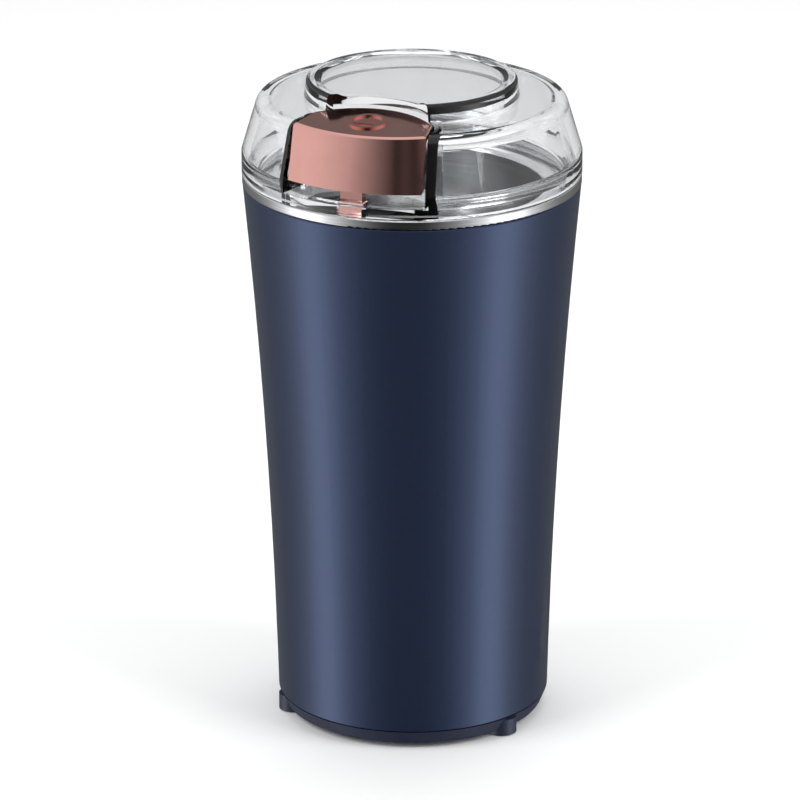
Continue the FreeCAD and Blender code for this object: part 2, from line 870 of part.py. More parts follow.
def make_lower_bracket():
    plate = plan_solid([
        (-lower_plate_half_width, -lower_plate_half_length, bracket_rounding),
        (lower_plate_half_width, -lower_plate_half_length, bracket_rounding),
        (lower_plate_half_width, lower_plate_half_length, bracket_rounding),
        (-lower_plate_half_width, lower_plate_half_length, bracket_rounding),
    ], lower_plate_bottom, lower_plate_top)
    boss_bottom = lower_plate_top - bearing_height - 2 * bearing_lip
    solids = [plate, disc(bearing_boss_radius, boss_bottom, lower_plate_top)]
    cuts = [
        disc(bearing_radius + press_clearance, boss_bottom + bearing_lip, lower_plate_top),
        disc(shaft_radius + wall_clearance, boss_bottom, lower_plate_top),
    ]
    for side in (-1, 1):
        low_x, high_x = sorted((side * lower_plate_half_width / 2, side * leg_x))
        low_y, high_y = sorted((-side * (leg_y - leg_radius), -side * (leg_y + leg_radius)))
        solids.append(block(low_x, high_x, low_y, high_y, lower_plate_bottom, lower_plate_top))
        low_y, high_y = sorted((side * (brush_tube_start + 2), side * (brush_tube_start + brush_tube_length)))
        solids.append(block(-brush_tube_half_width - 1.5, brush_tube_half_width + 1.5, low_y, high_y,
                            lower_plate_top, brush_level() - brush_tube_half_width))
    for x, y in leg_places():
        solids.append(disc(leg_radius, lower_plate_bottom, stator_bottom, x, y))
        cuts.append(disc(screw_shank_radius + slip_clearance, lower_plate_bottom, stator_bottom, x, y))
    return fused(solids).cut(cuts)


def make_upper_bearing():
    bottom = bracket_top - bearing_height - bearing_lip
    return ring(bearing_radius, shaft_radius + running_clearance, bottom, bottom + bearing_height)


def make_lower_bearing():
    bottom = lower_plate_top - bearing_height - bearing_lip
    return ring(bearing_radius, shaft_radius + running_clearance, bottom, bottom + bearing_height)


# Stator

def make_stator_core():
    def plate(half_length, half_width, corner):
        return plan_solid([
            (-half_length, -half_width, corner),
            (half_length, -half_width, corner),
            (half_length, half_width, corner),
            (-half_length, half_width, corner),
        ], stator_bottom, stator_top)

    bore = armature_radius + air_gap
    yoke = plate(stator_half_length, stator_half_width, stator_corner)
    yoke = yoke.cut(plate(stator_window_half_length, stator_window_half_width, stator_window_corner))
    shoe = ring(bore + pole_shoe_thickness, bore, stator_bottom, stator_top)
    shoe = shoe.common(wedge(pole_shoe_half_angle, 0.01, stator_bottom, stator_top))
    neck = block(-pole_half_width, pole_half_width, -stator_window_half_length - 1,
                 -bore - pole_shoe_thickness / 2, stator_bottom, stator_top)
    pole = shoe.fuse(neck)
    core = fused([yoke, turned(pole, 90), turned(pole, 270)])
    hole_radius = screw_shank_radius + slip_clearance
    return core.cut([disc(hole_radius, stator_bottom, stator_top, x, y) for x, y in leg_places()])


def make_field_coils():
    inner_half = pole_half_width + coil_slack
    outer_half = inner_half + coil_build
    inner_low = stator_bottom - coil_slack
    inner_high = stator_top + coil_slack
    far_x = stator_window_half_length - slip_clearance

    def loop_block(half, low, high, corner):
        corners = [(-half, low, corner), (half, low, corner), (half, high, corner), (-half, high, corner)]
        return side_solid(corners, far_x - coil_thickness, far_x)

    outer = loop_block(outer_half, inner_low - coil_build, inner_high + coil_build, coil_corner)
    inner = block(0, 2 * far_x, -inner_half, inner_half, inner_low, inner_high)
    coil = outer.cut(inner)
    return Part.makeCompound([coil, turned(coil, 180)])


def make_stator_screws():
    shank_top = bracket_bottom
    return Part.makeCompound([
        screw(lower_plate_bottom - screw_head_height, shank_top, x, y) for x, y in leg_places()
    ])


def make_thermal_cutout():
    coil_top = stator_top + coil_slack + coil_build
    x = stator_window_half_length - slip_clearance - coil_thickness / 2
    return Part.makeCylinder(cutout_radius, cutout_length,
                             Vector(x, -cutout_length / 2, coil_top + cutout_radius), Vector(0, 1, 0))


# Brushes

def brush_level():
    return stator_bottom - winding_height - commutator_drop - commutator_height / 2


def brush_bar(half_width, start, length):
    level = brush_level()
    return block(-half_width, half_width, start, start + length, level - half_width, level + half_width)


def make_brush_holders():
    tube = brush_bar(brush_tube_half_width, brush_tube_start, brush_tube_length)
    hollow = brush_bar(brush_tube_half_width - brush_tube_wall, brush_tube_start,
                       brush_tube_length - brush_tube_wall)
    holder = tube.cut(hollow)
    return Part.makeCompound([holder, turned(holder, 180)])


def make_carbon_brushes():
    carbon = brush_bar(brush_half_width, commutator_radius + running_clearance, brush_length)
    return Part.makeCompound([carbon, turned(carbon, 180)])


def make_brush_springs():
    start = commutator_radius + running_clearance + brush_length
    end = brush_tube_start + brush_tube_length - brush_tube_wall
    spring_start = Vector(0, start, brush_level())
    spring = Part.makeCylinder(brush_spring_radius, end - start, spring_start, Vector(0, 1, 0))
    return Part.makeCompound([spring, turned(spring, 180)])


# Rotor

def make_motor_shaft():
    bottom = lower_plate_top - bearing_height - 2 * bearing_lip - shaft_foot
    top = blade_nut_top() - shaft_end_below_dome
    return turned_solid([
        (0, bottom),
        (shaft_radius, bottom, 0.4),
        (shaft_radius, top, 0.4),
        (0, top),
    ])


def make_armature_core():
    core = ring(armature_radius, shaft_radius, stator_bottom, stator_top)
    centre = armature_radius - armature_slot_depth
    slot = disc(armature_slot_radius, stator_bottom, stator_top, 0, -centre)
    mouth = block(-armature_slot_mouth / 2, armature_slot_mouth / 2, -armature_radius - 1, -centre,
                  stator_bottom, stator_top)
    return core.cut(around(slot.fuse(mouth), 0, armature_slot_count))


def make_armature_windings():
    centre = armature_radius - armature_slot_depth
    bar = disc(armature_slot_radius - press_clearance, stator_bottom - 1, stator_top + 1, 0, -centre)
    low_head = ring(winding_radius, shaft_radius + 1, stator_bottom - winding_height, stator_bottom)
    high_head = ring(winding_radius, shaft_radius + 1, stator_top, stator_top + winding_height)
    return fused([low_head, high_head] + around(bar, 0, armature_slot_count))


def make_commutator():
    top = stator_bottom - winding_height - commutator_drop
    drum = ring(commutator_radius, shaft_radius, top - commutator_height, top)
    slit = block(-commutator_slit / 2, commutator_slit / 2, -commutator_radius - 1,
                 -commutator_radius + commutator_slit_depth, top - commutator_height, top)
    return drum.cut(around(slit, 0, commutator_bar_count))


def make_cooling_fan():
    plate = disc(fan_radius, fan_bottom, fan_bottom + fan_disc_thickness)
    hub = disc(fan_hub_radius, fan_bottom, fan_top)
    blade = block(-fan_blade_thickness / 2, fan_blade_thickness / 2, -fan_radius + 0.5, -fan_hub_radius + 0.5,
                  fan_bottom, fan_top)
    fan = fused([plate, hub] + around(blade, 0, fan_blade_count))
    return fan.cut(disc(shaft_radius, fan_bottom, fan_top))


def make_blade_spacer():
    bottom = hub_top + blade_gap
    return ring(spacer_radius, shaft_radius, bottom, bottom + spacer_height)


def blade_level():
    return hub_top + blade_gap + spacer_height


def make_blade():
    low = blade_level()
    high = low + blade_thickness
    centre = disc(blade_flat, low, high)

    def wing(bend):
        flat = plan_solid([
            (0, -blade_root_half_width),
            (blade_flat, -blade_root_half_width),
            (blade_reach, -blade_tip_half_width, 2.5),
            (blade_reach, blade_tip_half_width, 2.5),
            (blade_flat, blade_root_half_width),
            (0, blade_root_half_width),
        ], low, high)
        root = flat.common(block(0, blade_flat, -blade_reach, blade_reach, low, high))
        tip = flat.cut(block(0, blade_flat - 0.4, -blade_reach, blade_reach, low, high))
        tip.rotate(Vector(blade_flat, 0, (low + high) / 2), Vector(0, 1, 0), bend)
        return [root, tip]

    second = [turned(shape, 180) for shape in wing(blade_bend_angle)]
    blade = fused([centre] + wing(-blade_bend_angle) + second)
    return blade.cut(disc(shaft_radius, low - 1, high + 1))


def make_blade_washer():
    low = blade_level() + blade_thickness
    return ring(washer_radius, shaft_radius, low, low + washer_thickness)


def blade_nut_bottom():
    return blade_level() + blade_thickness + washer_thickness


def blade_nut_top():
    return blade_nut_bottom() + blade_nut_height


def make_blade_nut():
    low = blade_nut_bottom()
    high = blade_nut_top()
    body = hexagon(blade_nut_width, low, high)
    dome_radius = blade_nut_width / 2 - 0.3
    ball_radius = (dome_radius ** 2 + blade_nut_dome ** 2) / (2 * blade_nut_dome)
    dome = Part.makeSphere(ball_radius, Vector(0, 0, high + blade_nut_dome - ball_radius))
    dome = dome.common(disc(dome_radius, high - 0.2, high + 2 * blade_nut_dome))
    bore = disc(shaft_radius, low, high - shaft_end_below_dome)
    return fused([body, dome]).cut(bore)


# Lid with its raised disc and the pocket for the button

def lid_outline():
    return [
        (0, lid_bottom),
        (lid_radius, lid_bottom),
        (lid_radius, band_top, 0.6),
        (lid_shoulder_radius, shoulder_top, lid_corner_rounding),
        (disc_base_radius, lid_top),
        (disc_radius, disc_top, disc_edge_rounding),
        (dish_radius, disc_top, 0.5),
        (dish_radius - dish_slope, disc_top - dish_depth, 0.8),
        (0, disc_top - dish_depth),
    ]


def make_lid_shell():
    outer = turned_solid(lid_outline())
    lip = turned_solid([
        (0, lid_bottom - lid_lip_drop),
        (lid_lip_radius, lid_bottom - lid_lip_drop),
        (lid_lip_radius, lid_bottom),
        (0, lid_bottom),
    ])
    inside = turned_solid([
        (0, lid_bottom - lid_lip_drop),
        (lid_inner_bottom_radius, lid_bottom - lid_lip_drop),
        (lid_inner_bottom_radius, lid_bottom + lid_foot_height),
        (lid_inner_radius, lid_inner_bend),
        (lid_inner_top_radius, shoulder_top - lid_wall, lid_inner_corner),
        (disc_radius - lid_wall, lid_top - lid_wall),
        (disc_radius - lid_wall, disc_top - dish_depth - lid_wall),
        (0, disc_top - dish_depth - lid_wall),
    ])
    tub = between_sides(wall_clearance + pocket_wall, lid_bottom, disc_top)
    tub = tub.common(disc(pocket_arc_radius + pocket_wall, lid_bottom, disc_top, 0, -pocket_arc_centre))
    shell = outer.fuse(lip).cut(inside)
    shell = fused([shell, tub.common(outer)])
    pocket = between_sides(wall_clearance, pocket_bottom, disc_top + 1)
    pocket = pocket.common(disc(pocket_arc_radius, pocket_bottom, disc_top + 1, 0, -pocket_arc_centre))
    slot = block(-stem_half_width - wall_clearance, stem_half_width + wall_clearance,
                 -stem_front - wall_clearance, -stem_back + wall_clearance,
                 lid_bottom - lid_lip_drop, pocket_bottom)
    notch = block(-plunger_half_width - 3 * wall_clearance, plunger_half_width + 3 * wall_clearance,
                  -lid_radius, 0, lid_bottom - lid_lip_drop, lid_bottom)
    return shell.cut([pocket, slot, notch])


# Button

def above_slope(height):
    # What lies above the sloped plane that meets the button's front top edge at this height.
    size = 4 * lid_radius
    space = block(-size, size, -size, size, 0, size)
    space.rotate(Vector(0, 0, 0), Vector(1, 0, 0), button_top_slope)
    space.translate(Vector(0, -button_front_top_radius, height))
    return space


def button_form(shrink, low, high):
    # The button's plan and slanted front, drawn in by the shrink on every upright face.
    slope = (button_front_bottom_radius - button_front_top_radius) / (button_top - button_bottom)
    peak = high + button_front_top_radius * math.tan(math.radians(button_top_slope))
    low_radius = button_front_top_radius + slope * (button_top - low) - shrink
    peak_radius = button_front_top_radius + slope * (button_top - peak) - shrink
    cone = turned_solid([(0, low), (low_radius, low), (peak_radius, peak), (0, peak)])
    form = cone.common(between_sides(-shrink, low, peak, button_side_lean))
    arc_radius = pocket_arc_radius - wall_clearance - shrink
    form = form.common(disc(arc_radius, low, peak, 0, -pocket_arc_centre))
    return form.cut(above_slope(high))


def make_button_symbol():
    # A ring with a bar across it and a short stroke that stands on the bar.
    outer = symbol_radius
    half_line = symbol_line / 2
    band = ring(outer, outer - symbol_line, -symbol_sunk, symbol_relief)
    half_bar = math.sqrt((outer - half_line) ** 2 - symbol_bar_offset ** 2)
    bar = block(-half_bar, half_bar, -symbol_bar_offset - half_line, -symbol_bar_offset + half_line,
                -symbol_sunk, symbol_relief)
    stroke = block(-half_line, half_line, -symbol_bar_offset, symbol_stroke_length - symbol_bar_offset,
                   -symbol_sunk, symbol_relief)
    symbol = fused([band, bar, stroke])
    rise = (button_front_top_radius - symbol_centre) * math.tan(math.radians(button_top_slope))
    symbol.rotate(Vector(0, 0, 0), Vector(1, 0, 0), button_top_slope)
    symbol.translate(Vector(0, -symbol_centre, button_top + rise))
    return symbol


def make_button_cap():
    body = button_form(0, button_bottom, button_top)
    top = max(body.Faces, key=lambda face: face.CenterOfMass.z)
    body = body.makeFillet(button_rounding, top.Edges)
    hollow = button_form(button_wall, button_bottom, button_top - button_wall)
    cap = body.cut(hollow)
    stem = block(-stem_half_width, stem_half_width, -stem_front, -stem_back,
                 lid_bottom, button_top - button_wall)
    stem = stem.common(button_form(button_wall / 2, lid_bottom, button_top))
    return fused([cap, stem, make_button_symbol()])


# Switch plunger and its spring

def collar_bottom():
    return carrier_top + plunger_spring_length


def rod_bottom():
    contact = rod_distance - lever_pivot_distance
    angle = math.radians(lever_angle)
    rise = contact * math.tan(angle) + lever_thickness / 2 / math.cos(angle)
    return lever_pivot_z + rise + seat_gap


def make_switch_plunger():
    neck_bottom = plunger_top - plunger_neck_height
    neck = block(-plunger_half_width, plunger_half_width, -plunger_front, -plunger_back,
                 neck_bottom, plunger_top)
    foot = block(-plunger_half_width, plunger_half_width, -plunger_front, -plunger_foot_back,
                 plunger_foot_bottom, neck_bottom)
    rod = disc(rod_radius, rod_bottom(), neck_bottom, 0, -rod_distance)
    collar = disc(collar_radius, collar_bottom(), collar_bottom() + collar_height, 0, -rod_distance)
    return fused([neck, foot, rod, collar])


def make_plunger_spring():
    inner = rod_radius + running_clearance
    return ring(inner + plunger_spring_wire, inner, carrier_top, collar_bottom(), 0, -rod_distance)


# Microswitch

def switch_screw_places():
    return [-switch_screw_distance, -switch_screw_distance - switch_screw_spacing]


def make_microswitch_case():
    front = -(switch_back + switch_length)
    case = block(-switch_half_width, switch_half_width, front, -switch_back, switch_bottom, switch_top)
    actuator = disc(switch_button_radius, switch_top - 1, switch_top + switch_button_height,
                    0, -switch_button_distance)
    ear_top = lever_pivot_z + lever_barrel_radius
    solids = [case, actuator]
    for side in (-1, 1):
        low_x, high_x = sorted((side * switch_half_width, side * (switch_half_width - ear_thickness)))
        solids.append(block(low_x, high_x, -lever_pivot_distance - 2 * lever_pin_radius,
                            -lever_pivot_distance + 2 * lever_pin_radius, switch_top - 1, ear_top))
    pin_start = Vector(-switch_half_width, -lever_pivot_distance, lever_pivot_z)
    solids.append(Part.makeCylinder(lever_pin_radius, 2 * switch_half_width, pin_start, Vector(1, 0, 0)))
    holes = []
    for y in switch_screw_places():
        holes.append(Part.makeCylinder(switch_screw_radius + press_clearance, 4 * switch_half_width,
                                       Vector(-2 * switch_half_width, y, (switch_top + switch_bottom) / 2),
                                       Vector(1, 0, 0)))
    return fused(solids).cut(holes)


def make_switch_screws():
    screws = []
    end_x = switch_half_width + running_clearance + switch_plate_thickness
    for y in switch_screw_places():
        centre = Vector(-switch_half_width, y, (switch_top + switch_bottom) / 2)
        shank = Part.makeCylinder(switch_screw_radius, switch_half_width + end_x, centre, Vector(1, 0, 0))
        head = Part.makeCylinder(1.8 * switch_screw_radius, switch_screw_radius, centre, Vector(-1, 0, 0))
        screws.append(shank.fuse(head))
    return Part.makeCompound(screws)


def terminal_places():
    front = -(switch_back + switch_length)
    return [front + 2 + index * terminal_spacing for index in range(2)]


def make_switch_terminals():
    blades = []
    for y in terminal_places():
        blades.append(block(-1.6, 1.6, y - 0.25, y + 0.25, switch_bottom - terminal_length, switch_bottom))
    return Part.makeCompound(blades)


def make_switch_lever():
    low = -lever_thickness / 2
    high = lever_thickness / 2
    plate = block(-lever_half_width, lever_half_width, lever_pivot_distance - lever_tip_distance, 0,
                  low, high)
    barrel = Part.makeCylinder(lever_barrel_radius, 2 * lever_half_width, Vector(-lever_half_width, 0, 0),
                               Vector(1, 0, 0))
    bore = Part.makeCylinder(lever_pin_radius + running_clearance, 4 * lever_half_width,
                             Vector(-2 * lever_half_width, 0, 0), Vector(1, 0, 0))
    lever = plate.fuse(barrel).cut(bore)
    lever.rotate(Vector(0, 0, 0), Vector(1, 0, 0), -lever_angle)
    lever.translate(Vector(0, -lever_pivot_distance, lever_pivot_z))
    return lever


# Capacitor and leads

def make_suppression_capacitor():
    return block(-capacitor_half_length, capacitor_half_length,
                 capacitor_front_y, capacitor_front_y + capacitor_depth,
                 cover_floor_top, cover_floor_top + capacitor_height)


def lead(points):
    # A wire along straight runs that are joined by equal arcs.
    vectors = [Vector(*place) for place in points]
    edges = []
    here = vectors[0]
    for index in range(1, len(vectors) - 1):
        corner = vectors[index]
        to_before = (vectors[index - 1] - corner).normalize()
        to_after = (vectors[index + 1] - corner).normalize()
        half_angle = to_before.getAngle(to_after) / 2
        reach = lead_bend_radius / math.tan(half_angle)
        inward = (to_before + to_after).normalize()
        depth = lead_bend_radius / math.sin(half_angle) - lead_bend_radius
        arrive = corner + to_before * reach
        leave = corner + to_after * reach
        edges.append(Part.LineSegment(here, arrive).toShape())
        edges.append(Part.Arc(arrive, corner + inward * depth, leave).toShape())
        here = leave
    edges.append(Part.LineSegment(here, vectors[-1]).toShape())
    direction = vectors[1] - vectors[0]
    section = Part.Wire(Part.makeCircle(lead_radius, vectors[0], direction))
    return Part.Wire(edges).makePipeShell([section], True, False)


def make_motor_leads():
    holder_end = brush_tube_start + brush_tube_length
    level = brush_level()
    front_y = -lead_front_distance
    terminal_y = terminal_places()[0]
    capacitor_middle = cover_floor_top + capacitor_height / 2
    front = lead([
        (0, terminal_y, switch_bottom - terminal_length),
        (0, front_y, (switch_bottom + level) / 2),
        (0, front_y, level),
        (0, -holder_end, level),
    ])
    rear = lead([
        (0, capacitor_front_y + capacitor_depth, capacitor_middle),
        (0, lead_rear_distance, capacitor_middle),
        (0, lead_rear_distance, level),
        (0, holder_end, level),
    ])
    return Part.makeCompound([front, rear])


save("foot_pads", make_foot_pads())
save("base_cover", make_base_cover())
save("base_screws", make_base_screws())
save("body_shell", make_body_shell())
save("cord_gland", make_cord_gland())
save("bowl", make_bowl())
save("bowl_gasket", make_bowl_gasket())
save("bowl_hub", make_bowl_hub())
save("hub_nut", make_hub_nut())
save("shaft_seal", make_shaft_seal())
save("motor_carrier", make_motor_carrier())
save("carrier_screws", make_carrier_screws())
save("motor_grommets", make_motor_grommets())
save("motor_screws", make_motor_screws())
save("upper_bracket", make_upper_bracket())
save("lower_bracket", make_lower_bracket())
save("upper_bearing", make_upper_bearing())
save("lower_bearing", make_lower_bearing())
save("stator_core", make_stator_core())
save("field_coils", make_field_coils())
save("stator_screws", make_stator_screws())
save("thermal_cutout", make_thermal_cutout())
save("brush_holders", make_brush_holders())
save("carbon_brushes", make_carbon_brushes())
save("brush_springs", make_brush_springs())
save("motor_shaft", make_motor_shaft())
save("armature_core", make_armature_core())
save("armature_windings", make_armature_windings())
save("commutator", make_commutator())
save("cooling_fan", make_cooling_fan())
save("blade_spacer", make_blade_spacer())
save("blade", make_blade())
save("blade_washer", make_blade_washer())
save("blade_nut", make_blade_nut())
save("lid_shell", make_lid_shell())
save("button_cap", make_button_cap())
save("switch_plunger", make_switch_plunger())
save("plunger_spring", make_plunger_spring())
save("microswitch_case", make_microswitch_case())
save("switch_screws", make_switch_screws())
save("switch_terminals", make_switch_terminals())
save("switch_lever", make_switch_lever())
save("suppression_capacitor", make_suppression_capacitor())
save("motor_leads", make_motor_leads())
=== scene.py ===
import math
import bpy
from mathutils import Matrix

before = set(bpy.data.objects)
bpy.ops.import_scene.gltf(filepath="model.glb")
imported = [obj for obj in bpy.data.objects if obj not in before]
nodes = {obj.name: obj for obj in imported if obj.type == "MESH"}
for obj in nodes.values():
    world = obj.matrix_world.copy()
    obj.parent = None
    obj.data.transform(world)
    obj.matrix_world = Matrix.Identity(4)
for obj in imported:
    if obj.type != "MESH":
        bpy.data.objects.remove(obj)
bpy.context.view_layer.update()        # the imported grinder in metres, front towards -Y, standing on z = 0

scene = bpy.context.scene
mm = 0.001


# Helpers

def hexColour(text):
    # sRGB hex to linear colour
    values = [int(text[i:i + 2], 16) / 255 for i in (1, 3, 5)]
    linear = [v / 12.92 if v <= 0.04045 else ((v + 0.055) / 1.055) ** 2.4 for v in values]
    return (*linear, 1.0)


def addNode(tree, kind, settings=None, links=None):
    # adds one node, sets its properties and sockets, and links its inputs
    node = tree.nodes.new(kind)
    for key, value in (settings or {}).items():
        if isinstance(key, int) or key in node.inputs:
            node.inputs[key].default_value = value
        else:
            setattr(node, key, value)
    for key, source in (links or {}).items():
        tree.links.new(source, node.inputs[key])
    return node


# Camera, above the grinder and to the right of its front, metres and degrees

camera = {"distance": 1.4, "height": 0.58563, "pitch": 19.41, "turn": 21.9, "roll": -0.12,
          "lens": 233.4, "sensor": 36, "shift": -0.0156}

cameraData = bpy.data.cameras.new("studioCamera")
cameraData.lens = camera["lens"]
cameraData.sensor_width = camera["sensor"]
cameraData.shift_x = camera["shift"]
cameraObject = bpy.data.objects.new("studioCamera", cameraData)
cameraTurn, tip, roll = (math.radians(camera[angle]) for angle in ("turn", "pitch", "roll"))
cameraObject.location = (camera["distance"] * math.sin(cameraTurn), -camera["distance"] * math.cos(cameraTurn),
                         camera["height"])
# a small roll about the line of sight, split over the second and the third turn
cameraObject.rotation_euler = (math.pi / 2 - tip, -roll * math.cos(tip), cameraTurn + roll * math.sin(tip))
scene.collection.objects.link(cameraObject)
scene.camera = cameraObject
print("camera set")


# Studio: a white surround that is dark in front and bright at both sides, as metal and lacquer see it

studio = {
    "axisTurn": -4.5,                       # the middle of the dark front, from the camera, in degrees
    # (degrees from that middle, glow), below the horizon and above it
    "low": [(0, 0.033), (16, 0.066), (27, 0.22), (36, 0.41), (46, 0.81), (56, 1.39), (67, 2.44),
            (76, 2.52), (91, 1.26), (105, 0.61), (120, 0.31), (143, 0.2), (180, 0.12)],
    "high": [(0, 0.08), (10, 0.10), (36, 0.60), (60, 0.92), (90, 1.0), (125, 0.6), (180, 0.18)],
    # (lowest and highest angle over the horizon in degrees, share at the lowest); the share ends at 1
    "rises": {"horizon": (-3.0, 2.0, 0.0), "sky": (32.0, 50.0, 0.0), "ground": (-62.0, -38.0, 0.12)},
    "sky": 1.0,
    "ambient": 0.55,                        # for rays that are neither seen nor mirrored
}

scene.view_settings.view_transform = "Standard"
world = bpy.data.worlds.new("whiteStudio")
scene.world = world
world.use_nodes = True
tree = world.node_tree
tree.nodes.clear()
direction = addNode(tree, "ShaderNodeTexCoord").outputs["Generated"]
lift = addNode(tree, "ShaderNodeSeparateXYZ", {}, {0: direction}).outputs[2]
flat = addNode(tree, "ShaderNodeVectorMath", {"operation": "MULTIPLY", 1: (1, 1, 0)}, {0: direction})
level = addNode(tree, "ShaderNodeVectorMath", {"operation": "NORMALIZE"}, {0: flat.outputs[0]})
axisAngle = cameraTurn + math.radians(studio["axisTurn"])
towards = (math.sin(axisAngle), -math.cos(axisAngle), 0)
near = addNode(tree, "ShaderNodeVectorMath", {"operation": "DOT_PRODUCT", 1: towards}, {0: level.outputs[0]})
turned = addNode(tree, "ShaderNodeMath", {"operation": "ARCCOSINE"}, {0: near.outputs["Value"]})
share = addNode(tree, "ShaderNodeMath", {"operation": "DIVIDE", 1: math.pi}, {0: turned.outputs[0]})

around = {}
for height in ("low", "high"):
    # a smooth curve through the stops, from 0 in front to 180 degrees behind
    stops = studio[height]
    most = max(glow for _, glow in stops)
    ramp = addNode(tree, "ShaderNodeValToRGB", {}, {0: share.outputs[0]})
    ramp.color_ramp.interpolation = "CARDINAL"
    while len(ramp.color_ramp.elements) < len(stops):
        ramp.color_ramp.elements.new(0.5)
    for element, (degrees, glow) in zip(ramp.color_ramp.elements, stops):
        element.position = degrees / 180
        element.color = (glow / most, glow / most, glow / most, 1)
    around[height] = addNode(tree, "ShaderNodeMath", {"operation": "MULTIPLY", 1: most},
                             {0: ramp.outputs[0]}).outputs[0]

rise = {}
for name, (lowest, highest, startShare) in studio["rises"].items():
    rise[name] = addNode(tree, "ShaderNodeMapRange", {
        "interpolation_type": "SMOOTHSTEP", "From Min": math.sin(math.radians(lowest)),
        "From Max": math.sin(math.radians(highest)), "To Min": startShare, "To Max": 1.0},
        {"Value": lift}).outputs[0]

below = addNode(tree, "ShaderNodeMath", {"operation": "MULTIPLY"}, {0: around["low"], 1: rise["ground"]})
sides = addNode(tree, "ShaderNodeMix", {"data_type": "FLOAT"},
                {0: rise["horizon"], 2: below.outputs[0], 3: around["high"]})
mirrored = addNode(tree, "ShaderNodeMix", {"data_type": "FLOAT", 3: studio["sky"]},
                   {0: rise["sky"], 2: sides.outputs[0]})
rays = addNode(tree, "ShaderNodeLightPath")
seen = addNode(tree, "ShaderNodeMath", {"operation": "MAXIMUM"},
               {0: rays.outputs["Is Camera Ray"], 1: rays.outputs["Is Transmission Ray"]})
unseen = addNode(tree, "ShaderNodeMix", {"data_type": "FLOAT", 2: studio["ambient"]},
                 {0: rays.outputs["Is Glossy Ray"], 3: mirrored.outputs[0]})
strength = addNode(tree, "ShaderNodeMix", {"data_type": "FLOAT", 3: 1.0},
                   {0: seen.outputs[0], 2: unseen.outputs[0]})
background = addNode(tree, "ShaderNodeBackground", {"Color": (1, 1, 1, 1)}, {"Strength": strength.outputs[0]})
addNode(tree, "ShaderNodeOutputWorld", {}, {"Surface": background.outputs[0]})


# Floor: a flat pale square that mirrors don't see

floor = {"reach": 4.0, "colour": "#F6F6F6"}

reach = floor["reach"]
floorMesh = bpy.data.meshes.new("studioFloor")
floorMesh.from_pydata([(-reach, -reach, 0), (reach, -reach, 0), (reach, reach, 0), (-reach, reach, 0)],
                      [], [(0, 1, 2, 3)])
floorObject = bpy.data.objects.new("studioFloor", floorMesh)
scene.collection.objects.link(floorObject)
floorMaterial = bpy.data.materials.new("palePaperFloor")
floorMaterial.use_nodes = True
tree = floorMaterial.node_tree
tree.nodes.clear()
rays = addNode(tree, "ShaderNodeLightPath")
paper = addNode(tree, "ShaderNodeBsdfDiffuse", {"Color": hexColour(floor["colour"])})
clear = addNode(tree, "ShaderNodeBsdfTransparent")
floorMix = addNode(tree, "ShaderNodeMixShader", {},
                   {0: rays.outputs["Is Glossy Ray"], 1: paper.outputs[0], 2: clear.outputs[0]})
addNode(tree, "ShaderNodeOutputMaterial", {}, {"Surface": floorMix.outputs[0]})
floorMesh.materials.append(floorMaterial)


# Lamps: soft rectangles round the grinder that face its middle; turn is from the camera, in degrees

aimHeight = 0.09
lamps = {
    "leftSoftbox": {"turn": -62, "distance": 1.1, "height": 0.9, "size": (0.7, 1.0), "power": 9},
    "rightSoftbox": {"turn": 62, "distance": 1.1, "height": 0.9, "size": (0.7, 1.0), "power": 9},
    "topSoftbox": {"turn": 175, "distance": 0.5, "height": 1.4, "size": (1.2, 0.8), "power": 8},
}

for name, lamp in lamps.items():
    lampData = bpy.data.lights.new(name, "AREA")
    lampData.shape = "RECTANGLE"
    lampData.size, lampData.size_y = lamp["size"]
    lampData.energy = lamp["power"]
    lampObject = bpy.data.objects.new(name, lampData)
    angle = math.radians(camera["turn"] + lamp["turn"])
    lampObject.location = (lamp["distance"] * math.sin(angle), -lamp["distance"] * math.cos(angle), lamp["height"])
    lampObject.rotation_euler = (math.atan2(lamp["distance"], lamp["height"] - aimHeight), 0, angle)
    lampObject.visible_glossy = False
    scene.collection.objects.link(lampObject)
print("studio set with", len(lamps), "lamps")


# Finishes. A fine grain moves the gloss and lifts the surface, and a broader one moves the colour between
# two tones. grain, toneGrain and relief are in millimetres, and each node is named under what it wears.

commonFinish = {"shader": {}, "detail": 2, "toneDetail": 3, "rings": False}
toneWidth = 18                              # the tones change over patches this many times the grain
grainRange = {"From Min": 0.3, "From Max": 0.7}    # where nearly all values of the noise lie

